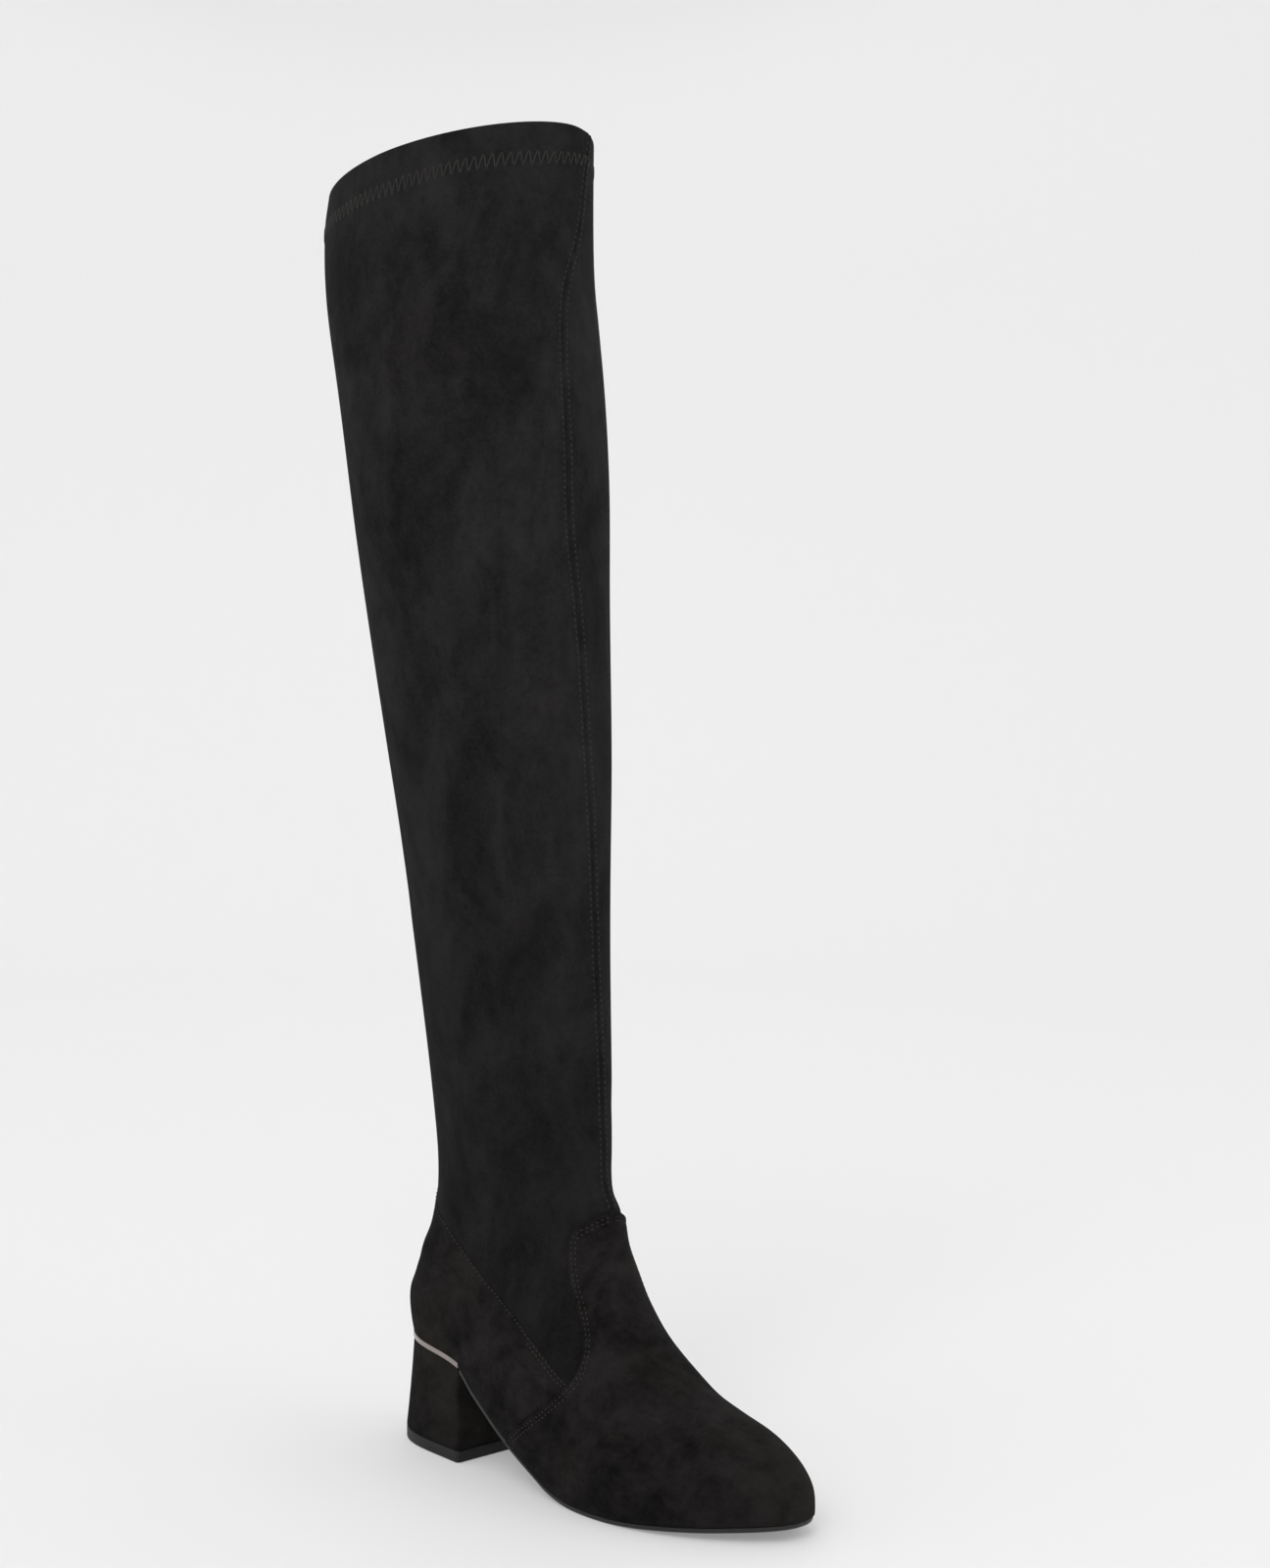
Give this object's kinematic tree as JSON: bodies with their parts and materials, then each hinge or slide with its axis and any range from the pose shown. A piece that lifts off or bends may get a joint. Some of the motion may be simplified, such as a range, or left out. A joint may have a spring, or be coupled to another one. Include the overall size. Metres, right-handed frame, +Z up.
{
  "type": "over-the-knee boot",
  "caption": "Stretch suede over-the-knee boot for the right foot, with a low covered block heel, a thin sole, a metal strip round the heel seat and a zip on the inner ankle.",
  "frame": {"origin": "centre of the boot's bounding box, on the floor", "axes": "+Z up, toe towards -Y, outer side of the right boot towards -X"},
  "size_m": [0.1218, 0.2766, 0.6183],
  "materials": {
    "suede": "napped, matt, near black",
    "sole_rubber": "matt, fine tread",
    "lining": "matt textile",
    "gunmetal": "bright gunmetal plate",
    "tape": "woven polyester",
    "coil": "moulded coil, slight sheen"
  },
  "bodies": {
    "boot": {"upper_shell": "suede", "vamp": "suede", "heel_counter": "suede", "collar_facing": "suede", "outsole": "sole_rubber", "insole": "lining", "heel_block": "suede", "heel_strip": "gunmetal", "top_lift": "sole_rubber", "zip_tape": "tape", "zip_teeth": "coil", "zip_slider": "gunmetal"},
    "pull": {"zip_pull": "gunmetal"}
  },
  "joints": [
    {"name": "pull_swing", "type": "hinge", "parent": "boot", "child": "pull", "pos_m": [0.05208, 0.03642, 0.27875], "axis": [-0.0702, -0.9975, 0], "range_deg": [0, 170]}
  ]
}
